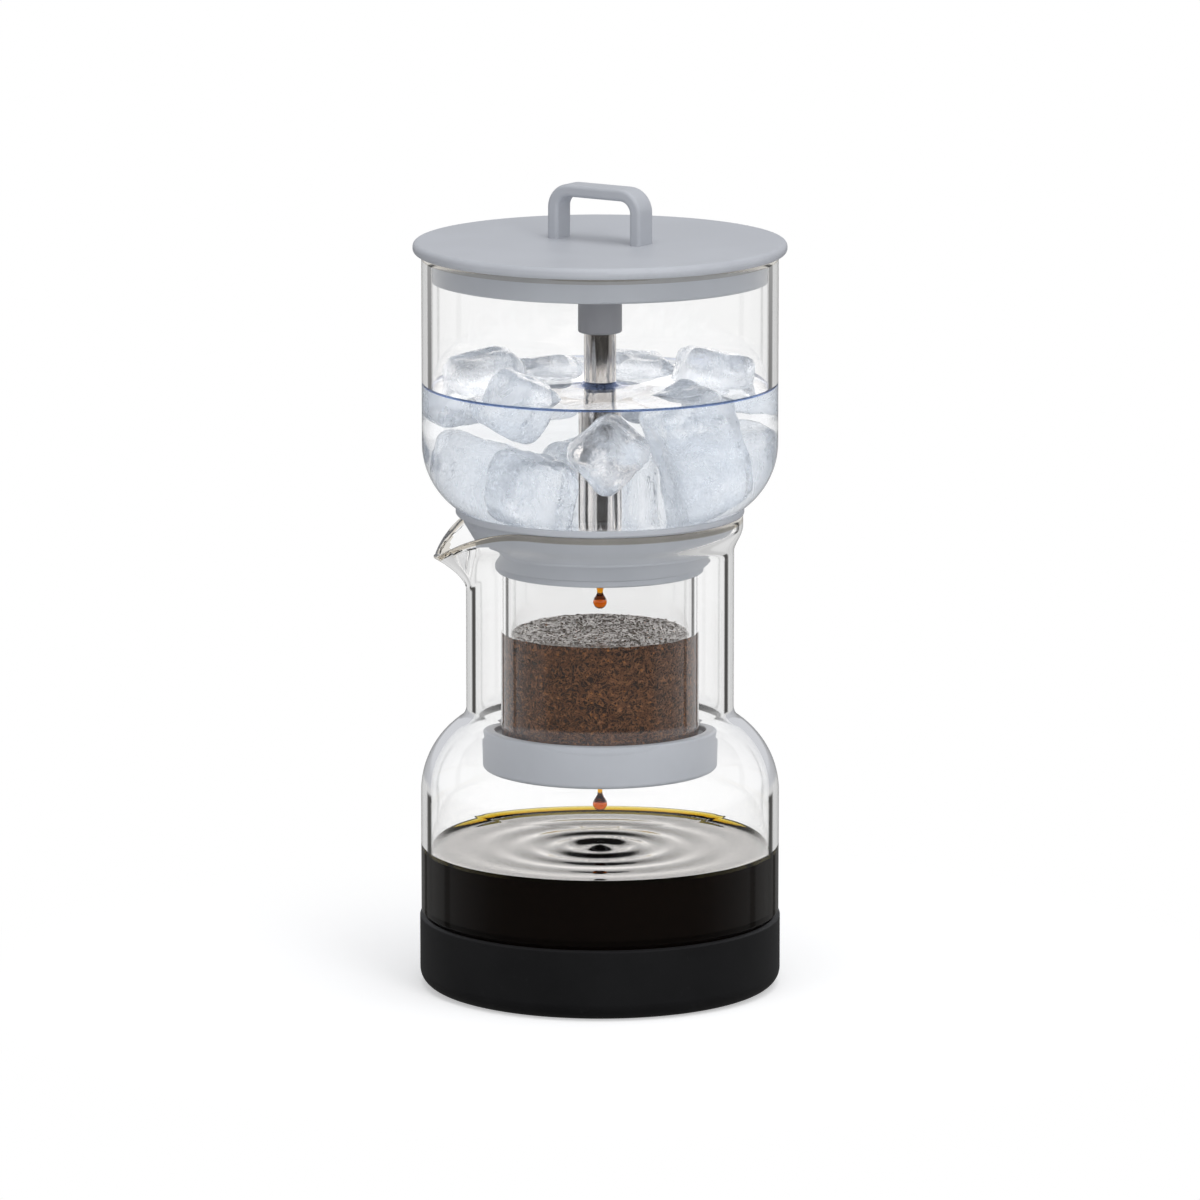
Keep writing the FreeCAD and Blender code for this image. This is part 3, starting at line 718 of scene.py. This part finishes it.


# ---- valve tube and knob ---------------------------------------------------------------------
# Drawn stainless tube, polished along its length, that turns in the seat to set the drip rate.
# The knob is a cap of grey silicone pushed over its upper end, its grey painted darker as shade.
steel, tree = finished("drawn_steel")
spot = tree.add("ShaderNodeTexCoord", out="Object")
along = tree.add("ShaderNodeMapping", inputs={"Vector": spot, "Scale": (1.0, 1.0, 0.02)})
draw = tree.add("ShaderNodeTexNoise", inputs={"Vector": along, "Scale": 3200.0, "Detail": 3.0})
stain = tree.add("ShaderNodeTexNoise", inputs={"Vector": spot, "Scale": 60.0, "Detail": 3.0})
steel_warm = (0.62, 0.59, 0.565, 1.0)
steel_bright = (0.70, 0.68, 0.66, 1.0)
steel_shader = tree.add("ShaderNodeBsdfPrincipled", inputs={
    "Base Color": blend(tree, stain, steel_warm, steel_bright),
    "Metallic": 1.0,
    "Roughness": draw.ramp(0.3, 0.7, 0.1, 0.17),
    "Normal": tree.add("ShaderNodeBump", inputs={
        "Strength": 0.1, "Distance": 0.00005, "Height": draw}),
})
tree.add("ShaderNodeOutputMaterial", inputs={0: steel_shader})
dress("valve_tube", steel)
# Painted shade: the knob's grey is darker than the other silicone, for the shade under the lid.
knob_painted_shade_silicone = silicone("knob_painted_shade_silicone", colour(150, 150, 154), colour(156, 156, 160), 0.45)
dress("valve_knob", knob_painted_shade_silicone)


# ---- filter ring and its woven mesh ----------------------------------------------------------
# Silicone cup that grips the foot of the coffee chamber, and a steel frame with a woven mesh
# that lies on its ledge under the grounds.
dress("filter_ring", pale_silicone)
dress("mesh_frame", steel)
weave_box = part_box("filter_mesh")
weave_radius = (weave_box[1][0] - weave_box[0][0]) / 2
weave_height = (weave_box[0][2] + weave_box[1][2]) / 2
weave_sizes = {"Pitch": 0.0012, "Wire": 0.00006, "Wave": 0.00007, "Reach": weave_radius}
woven = new_piece("filter_weave", bpy.data.meshes.new("filter_weave"))
weave, tree, size = node_group("woven_mesh", weave_sizes)
half_count = tree.sum("FLOOR", size["Reach"] / size["Pitch"])
wires = []
for axis in range(2):
    index = tree.add("GeometryNodeInputIndex")
    line = tree.add("GeometryNodeMeshLine", inputs={
        "Count": tree.add("FunctionNodeFloatToInt", inputs={0: half_count * 2 + 1})})
    offset = (index - half_count) * size["Pitch"]
    spread = {"Y" if axis == 0 else "X": offset}
    points = tree.add("GeometryNodeSetPosition", inputs={
        "Geometry": line, "Position": tree.add("ShaderNodeCombineXYZ", inputs=spread)})
    one = tree.add("GeometryNodeCurvePrimitiveLine", inputs={
        "Start": (-1.0, 0.0, 0.0) if axis == 0 else (0.0, -1.0, 0.0),
        "End": (1.0, 0.0, 0.0) if axis == 0 else (0.0, 1.0, 0.0)})
    one = tree.add("GeometryNodeResampleCurve", inputs={"Curve": one, "Count": 111})
    chord = tree.sum("SQRT", (size["Reach"] * size["Reach"] - offset * offset).most(1e-8))
    scale = tree.add("ShaderNodeCombineXYZ", inputs=(
        {"X": chord, "Y": 1.0, "Z": 1.0} if axis == 0 else {"X": 1.0, "Y": chord, "Z": 1.0}))
    placed = tree.add("GeometryNodeInstanceOnPoints", inputs={
        "Points": points, "Instance": one, "Scale": scale})
    curves = tree.add("GeometryNodeRealizeInstances", inputs={0: placed})
    spot = tree.add("GeometryNodeInputPosition")
    here = {a: tree.add("ShaderNodeSeparateXYZ", inputs={0: spot}, out=a) for a in "XY"}
    run, side = (here["X"], here["Y"]) if axis == 0 else (here["Y"], here["X"])
    bend = tree.sum("COSINE", run * math.pi / size["Pitch"])
    turn_over = tree.sum("COSINE", side * math.pi / size["Pitch"])
    way = 1.0 if axis == 0 else -1.0
    rise = bend * turn_over * size["Wave"] * way + weave_height
    curves = tree.add("GeometryNodeSetPosition", inputs={
        "Geometry": curves, "Offset": tree.add("ShaderNodeCombineXYZ", inputs={"Z": rise})})
    section = tree.add("GeometryNodeCurvePrimitiveCircle", inputs={
        "Resolution": 4, "Radius": size["Wire"]})
    wires.append(tree.add("GeometryNodeCurveToMesh", inputs={
        "Curve": curves, "Profile Curve": section, "Fill Caps": True}))
joined = tree.add("GeometryNodeJoinGeometry")
for wire in wires:
    tree.tree.links.new(wire.socket, joined.socket.node.inputs[0])
dressed = tree.add("GeometryNodeSetMaterial", inputs={
    "Geometry": tree.add("GeometryNodeRealizeInstances", inputs={0: joined}),
    "Material": steel})
tree.add("NodeGroupOutput", inputs={0: dressed})
grown(woven, weave, weave_sizes)
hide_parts("filter_mesh")
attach(woven, "filter")


# ---- coffee grounds --------------------------------------------------------------------------
# A bed of coarse wet grounds: broken brown grains and curled chaff pressed against the glass,
# and a wet, uneven top that shines, partly by its coat gloss and partly by painted sheen.
grounds_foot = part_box("coffee_grounds")[0][2] / mm
grounds_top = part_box("coffee_grounds")[1][2] / mm
grounds_reach = chamber_inner + 0.06
# The bed is turned a little low, and its lumps rise to the top.
bed_top = grounds_top - 0.5
foot_rings = 24
side_rings = 39
top_rings = 60
grounds_line = [Vector((0.0, grounds_foot))]
for k in range(1, foot_rings + 1):
    grounds_line.append(Vector((grounds_reach * k / foot_rings, grounds_foot)))
for k in range(1, side_rings + 1):
    height = grounds_foot + (bed_top - grounds_foot) * k / side_rings
    grounds_line.append(Vector((grounds_reach, height)))
for k in range(0, top_rings + 1):
    grounds_line.append(Vector((grounds_reach * (1 - k / top_rings), bed_top)))
bed_mesh = lathe("grounds_bed", [grounds_line] * 180)
for vertex in bed_mesh.vertices:
    if vertex.co.z > (bed_top - 0.1) * mm:
        spot = vertex.co * 260
        lump = noise.noise(spot) * 0.30 + noise.noise(spot * 2.7) * 0.22
        vertex.co.z += (lump - 0.12) * mm
bed = new_piece("grounds_bed", bed_mesh)


def grounds_finish(name, wet_with_painted_sheen):
    """Broken coffee: curled fibres of several browns, dark gaps and a few orange chips."""
    gaps = (colour(24, 14, 8), colour(52, 33, 22))
    grains = (colour(138, 90, 60), colour(190, 132, 90))
    # On the wet top the browns are painted pale grey: painted sheen for the shine of the wet
    # surface.
    if wet_with_painted_sheen:
        gaps = (colour(92, 78, 68), colour(126, 112, 102))
        grains = (colour(160, 146, 135), colour(196, 184, 174))
    chip_orange = colour(214, 134, 62)
    material, tree = finished(name)
    spot = tree.add("ShaderNodeTexCoord", out="Object")
    curl = tree.add("ShaderNodeTexNoise", inputs={
        "Vector": spot, "Scale": 330.0, "Detail": 2.0, "Roughness": 0.5, "Distortion": 2.2})
    second = tree.add("ShaderNodeTexNoise", inputs={
        "Vector": spot, "Scale": 500.0, "Detail": 2.0, "Roughness": 0.5, "Distortion": 1.6})
    cloud = tree.add("ShaderNodeTexNoise", inputs={"Vector": spot, "Scale": 90.0, "Detail": 4.0})
    fibre = (1.0 - tree.sum("ABSOLUTE", curl - 0.5) * 15.0).most(
        0.8 - tree.sum("ABSOLUTE", second - 0.47) * 15.0).most(0.0)
    chip = {out: tree.add("ShaderNodeTexVoronoi", inputs={"Vector": spot, "Scale": 760.0},
                          out=out) for out in ("Distance", "Color")}
    pick = tree.add("ShaderNodeSeparateColor", inputs={0: chip["Color"]})
    height = tree.add("ShaderNodeSeparateXYZ", inputs={0: spot}, out="Z")
    near_top = height.ramp((grounds_top - 4.0) * mm, bed_top * mm)
    speck = chip["Distance"].ramp(0.22, 0.34, 1.0, 0.0) * pick.ramp(0.9, 0.93) * (
        near_top * 0.5 + 0.5)
    # Darker towards the foot of the bed: partly wetter coffee, partly painted shade near the
    # filter ring.
    foot_wet_and_painted_shade = height.ramp((grounds_foot + 1.0) * mm, (grounds_foot + 7.0) * mm, 0.62, 1.0)
    deep = blend(tree, cloud.ramp(0.3, 0.7), *gaps)
    pale = blend(tree, pick, *grains)
    tone = blend(tree, (fibre * 0.75).least(0.85) * foot_wet_and_painted_shade, deep, pale)
    tone = blend(tree, speck * 0.85, tone, chip_orange)
    bump = tree.add("ShaderNodeBump", inputs={
        "Strength": 0.7, "Distance": 0.0006, "Height": fibre * 0.8 + cloud * 0.6 + speck * 0.3})
    shader = tree.add("ShaderNodeBsdfPrincipled", inputs={
        "Base Color": tone,
        "Roughness": fibre.ramp(0.0, 1.0, *((0.5, 0.4) if wet_with_painted_sheen else (0.6, 0.5))),
        "Normal": bump,
        "Coat Weight": 0.7 if wet_with_painted_sheen else 0.1,
        "Coat Roughness": 0.3,
    })
    tree.add("ShaderNodeOutputMaterial", inputs={0: shader})
    return material


wet_top_painted_sheen = grounds_finish("wet_grounds_top_painted_sheen", True)
bed.data.materials.append(grounds_finish("wet_grounds", False))
bed.data.materials.append(wet_top_painted_sheen)
for face in bed.data.polygons:
    if face.normal.z > 0.5 and face.center.z > (grounds_top - 2.0) * mm:
        face.material_index = 1
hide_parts("coffee_grounds")
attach(bed, "tower")

# Curled flakes of chaff lie on the top of the bed.
flake_sizes = {"Length": 0.0015, "Thickness": 0.00013, "Per square metre": 620000.0,
               "Level": (grounds_top - 1.0) * mm}
chaff = new_piece("grounds_chaff", bed.data.copy())
flakes, tree, size = node_group("coffee_chaff", flake_sizes)
height = tree.add("ShaderNodeSeparateXYZ",
                  inputs={0: tree.add("GeometryNodeInputPosition")}, out="Z")
upper = tree.add("FunctionNodeCompare", {"operation": "GREATER_THAN"},
                 {0: height, 1: size["Level"]})
strewn = tree.add("GeometryNodeDistributePointsOnFaces", inputs={
    "Mesh": size["Geometry"],
    "Selection": upper,
    "Density": size["Per square metre"],
    "Seed": 7,
})
arc = tree.add("GeometryNodeCurveArc", {"mode": "RADIUS"}, {
    "Resolution": 6, "Radius": size["Length"] * 0.4, "Sweep Angle": 2.6})
section = tree.add("GeometryNodeCurvePrimitiveCircle",
                   inputs={"Resolution": 4, "Radius": size["Thickness"]})
curl = tree.add("GeometryNodeCurveToMesh", inputs={
    "Curve": arc, "Profile Curve": section, "Fill Caps": True})
tumble = tree.add("FunctionNodeRandomValue", {"data_type": "FLOAT_VECTOR"},
                  {0: (-0.5, -0.5, 0.0), 1: (0.5, 0.5, 6.283), "Seed": 3})
stretch = tree.add("FunctionNodeRandomValue", {"data_type": "FLOAT_VECTOR"},
                   {0: (0.45, 0.35, 0.5), 1: (1.25, 1.0, 1.3), "Seed": 11})
scattered = tree.add("GeometryNodeInstanceOnPoints", inputs={
    "Points": strewn, "Instance": curl, "Rotation": tumble, "Scale": stretch})
dressed = tree.add("GeometryNodeSetMaterial", inputs={
    "Geometry": tree.add("GeometryNodeRealizeInstances", inputs={0: scattered}),
    "Material": wet_top_painted_sheen})
tree.add("NodeGroupOutput", inputs={0: dressed})
grown(chaff, flakes, flake_sizes)
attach(chaff, "tower")


# ---- ice -------------------------------------------------------------------------------------
# Lumps of half-melted ice: rounded blocks with dents, clear at the skin, with frost and trapped
# air inside.
def ice_finish():
    """Clear skin over cloudy ice with strings of small bubbles."""
    material, tree = finished("lump_ice")
    spot = tree.add("ShaderNodeTexCoord", out="Object")
    frost = tree.add("ShaderNodeTexNoise", inputs={
        "Vector": spot, "Scale": 62.0, "Detail": 7.0, "Roughness": 0.62, "Distortion": 0.6})
    streak = tree.add("ShaderNodeTexNoise", inputs={
        "Vector": tree.add("ShaderNodeMapping", inputs={
            "Vector": spot, "Rotation": (0.5, 0.8, 0.3), "Scale": (1.0, 0.25, 1.0)}),
        "Scale": 190.0, "Detail": 4.0, "Roughness": 0.6})
    bubble = tree.add("ShaderNodeTexVoronoi", inputs={"Vector": spot, "Scale": 460.0})
    dimple = tree.add("ShaderNodeTexNoise", inputs={
        "Vector": spot, "Scale": 230.0, "Detail": 3.0, "Distortion": 0.5})
    vein = tree.add("ShaderNodeTexNoise", inputs={
        "Vector": spot, "Scale": 300.0, "Detail": 1.0, "Distortion": 1.4})
    vein = (1.0 - tree.sum("ABSOLUTE", vein - 0.5) * 34.0).most(0.0) * frost.ramp(0.4, 0.52)
    cloud = (frost.ramp(0.34, 0.6) * 0.7 + streak.ramp(0.48, 0.72) * 0.3).least(0.95)
    air = bubble.ramp(0.1, 0.22, 1.0, 0.0) * frost.ramp(0.45, 0.6)
    bump = tree.add("ShaderNodeBump", inputs={
        "Strength": 0.5, "Distance": 0.0007,
        "Height": dimple + streak * 0.35 + air * 0.25 + vein * 0.5})
    clear = tree.add("ShaderNodeBsdfPrincipled", inputs={
        "Base Color": blend(tree, cloud, (0.985, 0.992, 1.0, 1.0), (0.93, 0.96, 1.0, 1.0)),
        "Roughness": cloud * 0.4,
        "IOR": 1.1,
        "Transmission Weight": 1.0,
        "Normal": bump,
        "Coat Weight": 0.5,
        "Coat Roughness": 0.04,
    })
    # Cloudy frost whose faint blue emission is a painted glow for light scattered through the
    # ice.
    frost_and_painted_glow = tree.add("ShaderNodeBsdfPrincipled", inputs={
        "Base Color": blend(tree, frost.ramp(0.3, 0.7), (0.82, 0.87, 0.95, 1.0),
                            (0.97, 0.985, 1.0, 1.0)),
        "Roughness": 0.3,
        "IOR": 1.31,
        "Emission Color": (0.8, 0.88, 1.0, 1.0),
        "Emission Strength": 0.2,
        "Normal": bump,
    })
    ice_shader = tree.add("ShaderNodeMixShader",
                          inputs={0: (cloud * 0.55).most(air * 0.85).most(vein * 0.6),
                                  1: clear, 2: frost_and_painted_glow})
    open_to_light(tree, ice_shader, (0.97, 0.98, 0.99, 1.0))
    return material


lump_ice = ice_finish()
voxel = 0.0009
melt_depth = 0.15
dent_depth = 0.65
pit_depth = 0.12
for node in sorted(name for name in nodes if name.startswith("ice_")):
    source = bmesh.new()
    source.from_mesh(nodes[node].data)
    bmesh.ops.remove_doubles(source, verts=source.verts, dist=1e-6)
    block = bpy.data.meshes.new(node + "_block")
    source.to_mesh(block)
    source.free()
    lump = new_piece(node.replace("ice_", "lump_"), block)
    remesh = lump.modifiers.new("voxels", "REMESH")
    remesh.mode = "VOXEL"
    remesh.voxel_size = voxel
    soften = lump.modifiers.new("soften", "SMOOTH")
    soften.iterations = 6
    soften.factor = 0.6
    bpy.context.view_layer.update()
    ready = lump.evaluated_get(bpy.context.evaluated_depsgraph_get())
    mesh = bpy.data.meshes.new_from_object(ready)
    lump.modifiers.clear()
    lump.data = mesh
    melted = []
    for vertex in mesh.vertices:
        dent = noise.fractal(vertex.co * 130, 1.0, 2.0, 3)
        pit = noise.noise(vertex.co * 420)
        depth = melt_depth + dent_depth * dent + pit_depth * pit
        melted.append(vertex.co - vertex.normal * depth * mm)
    for vertex, place in zip(mesh.vertices, melted):
        vertex.co = place
    mesh.polygons.foreach_set("use_smooth", [True] * len(mesh.polygons))
    mesh.materials.clear()
    mesh.materials.append(lump_ice)
    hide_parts(node)
    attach(lump, "tower")


# ---- water -----------------------------------------------------------------------------------
# Fresh water that the ice stands in, poured in at the top. It wets the glass and the steel tube,
# so it climbs a little at both.
water_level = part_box("water")[1][2] / mm
into_glass = 0.12
water_floor = chamber_floor - into_glass
outer_edge = tower_inner + into_glass
bowl_inside = [
    (bowl_edge - 1.0, water_floor), (bowl_edge, water_floor, 2.0),
    (outer_edge, inner_corner - into_glass, bowl_round_inner + into_glass),
    (outer_edge, water_level - 6.0),
]
tube_side = 5.35
seat_side = 9.62
seat_top = 157.7
water_line = [
    Vector((tube_side, water_level - 1.0)), Vector((tube_side, seat_top)),
    Vector((seat_side, seat_top)), Vector((seat_side, water_floor)),
] + rounded(bowl_inside, 24)
glass_climb = 1.1
tube_climb = 1.6
climb_width = 0.9
wall_rings = 5
wall_height = 5.0
for k in range(0, wall_rings):
    height = water_level - wall_height + k * (wall_height + glass_climb) / wall_rings
    water_line.append(Vector((outer_edge, height)))
water_line.append(Vector((outer_edge, water_level + glass_climb - 0.04)))
for k in range(0, 22):
    back = 0.04 * k ** 1.6
    rise = glass_climb * math.exp(-back / climb_width)
    water_line.append(Vector((outer_edge - back, water_level + rise)))
surface_start = water_line[-1].x
tube_ring = 3.0
surface_rings = [surface_start + (tube_side + tube_ring - surface_start) * k / 50
                 for k in range(1, 50)]
surface_rings += [tube_side + tube_ring * (1 - k / 15) for k in range(0, 16)]
for radius in surface_rings:
    rise = tube_climb * math.exp(-(radius - tube_side) / climb_width)
    water_line.append(Vector((radius, water_level + rise)))
pool = new_piece("water_pool", lathe("water_pool", [water_line] * 200))
# Slow swells of a few tenths of a millimetre die away towards glass and tube.
swell = 0.22
for vertex in pool.data.vertices:
    radius = math.hypot(vertex.co.x, vertex.co.y) / mm
    if vertex.co.z > (water_level - 0.5) * mm:
        from_glass = min(1.0, max(0.0, (outer_edge - radius) / 6))
        beside_tube = min(1.0, max(0.0, (radius - 6) / 5))
        share = from_glass * beside_tube
        vertex.co.z += noise.noise(vertex.co * 75) * swell * mm * share
water_finish, tree = finished("iced_water")
spot = tree.add("ShaderNodeTexCoord", out="Object")
swirl = tree.add("ShaderNodeTexNoise", inputs={"Vector": spot, "Scale": 45.0, "Detail": 2.0})
across = {axis: tree.add("ShaderNodeSeparateXYZ", inputs={0: spot}, out=axis) for axis in "XYZ"}
from_tube = tree.sum("SQRT", across["X"] * across["X"] + across["Y"] * across["Y"])
# Painted reflection: a blue line painted along the meniscus at glass and tube, stronger in front.
painted_meniscus_reflection = across["Z"].ramp((water_level + 0.12) * mm, (water_level + 0.45) * mm)
painted_meniscus_reflection = painted_meniscus_reflection * across["Y"].ramp(-0.03, 0.03, 0.95, 0.25)
painted_tube_reflection = from_tube.ramp(0.0088, 0.0112, 1.0, 0.0) * across["Z"].ramp(
    (water_level - 0.4) * mm, (water_level - 0.2) * mm)
# Colour of the painted reflection along the meniscus.
painted_reflection_blue = (0.012, 0.09, 0.42, 1.0)
tint = blend(tree, swirl, (0.975, 0.985, 1.0, 1.0), (0.96, 0.975, 0.995, 1.0))
tint = blend(tree, painted_meniscus_reflection.most(painted_tube_reflection * 0.9), tint, painted_reflection_blue)
clear = tree.add("ShaderNodeBsdfPrincipled", inputs={
    "Base Color": tint,
    "Roughness": 0.0,
    "IOR": 1.333,
    "Transmission Weight": 1.0,
    "Normal": tree.add("ShaderNodeBump", inputs={
        "Strength": 0.08, "Distance": 0.0008, "Height": swirl}),
})
open_to_light(tree, clear, (0.98, 0.985, 0.995, 1.0))
pool.data.materials.append(water_finish)
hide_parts("water")
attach(pool, "tower")


# ---- lid and its handle ----------------------------------------------------------------------
# Satin silicone disc with a plug skirt, and a square arch of the same silicone held by two
# studs through the disc.
for node in ("lid_disc", "lid_handle"):
    dress(node, pale_silicone)


# ---- drops -----------------------------------------------------------------------------------
# A drop hanging from the nozzle and one from the filter. Each is a stretched neck of cold brew
# with a round bulb, amber where it is thin.
drop_finish, tree = finished("brew_drop")
spot = tree.add("ShaderNodeTexCoord", out="Object")
shade = tree.add("ShaderNodeTexNoise", inputs={"Vector": spot, "Scale": 300.0, "Detail": 2.0})
drop_shader = tree.add("ShaderNodeBsdfPrincipled", inputs={
    "Base Color": blend(tree, shade, (0.9, 0.72, 0.4, 1.0), (0.95, 0.8, 0.5, 1.0)),
    "Roughness": 0.01,
    "IOR": 1.34,
    "Transmission Weight": 1.0,
})
drop_depth = tree.add("ShaderNodeVolumeAbsorption",
                      inputs={"Color": (0.95, 0.8, 0.1, 1.0), "Density": 2400.0})
tree.add("ShaderNodeOutputMaterial", inputs={0: drop_shader, 1: drop_depth})
drop_lines = {
    "upper_drop": [(0.0, 128.35), (0.9, 128.5), (1.7, 129.1), (2.25, 130.1), (2.3, 130.9),
                   (2.05, 131.8), (1.5, 132.7), (1.1, 133.5), (1.0, 134.3), (1.25, 135.4),
                   (1.7, 136.4), (2.1, 137.2), (0.0, 137.25)],
    "lower_drop": [(0.0, 58.75), (0.95, 58.9), (1.75, 59.5), (2.35, 60.6), (2.4, 61.4),
                   (2.1, 62.4), (1.5, 63.4), (1.0, 64.4), (0.8, 65.4), (0.85, 66.8),
                   (1.0, 69.0), (1.25, 72.0), (1.6, 76.2), (0.0, 76.25)],
}
# A smooth curve runs through the points of each outline.
curve_steps = 6
for node, corners in drop_lines.items():
    low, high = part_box(node)
    middle = Vector(((low[0] + high[0]) / 2, (low[1] + high[1]) / 2, 0.0))
    smooth = []
    points = [Vector(corner) for corner in corners]
    for k in range(len(points) - 2):
        before = points[k - 1] if k else Vector((-points[1].x, points[1].y))
        after = points[k + 2]
        for step in range(curve_steps):
            t = step / curve_steps
            smooth.append(0.5 * (
                2 * points[k] + (points[k + 1] - before) * t
                + (2 * before - 5 * points[k] + 4 * points[k + 1] - after) * t * t
                + (3 * points[k] - before - 3 * points[k + 1] + after) * t * t * t))
    smooth[0] = Vector((0.0, smooth[0].y))
    line = smooth + points[-2:]
    mesh = lathe("brew_" + node, [line] * 48)
    for vertex in mesh.vertices:
        vertex.co += middle
    mesh.materials.append(drop_finish)
    drop = new_piece("brew_" + node, mesh)
    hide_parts(node)
    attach(drop, "valve" if node == "upper_drop" else "filter")
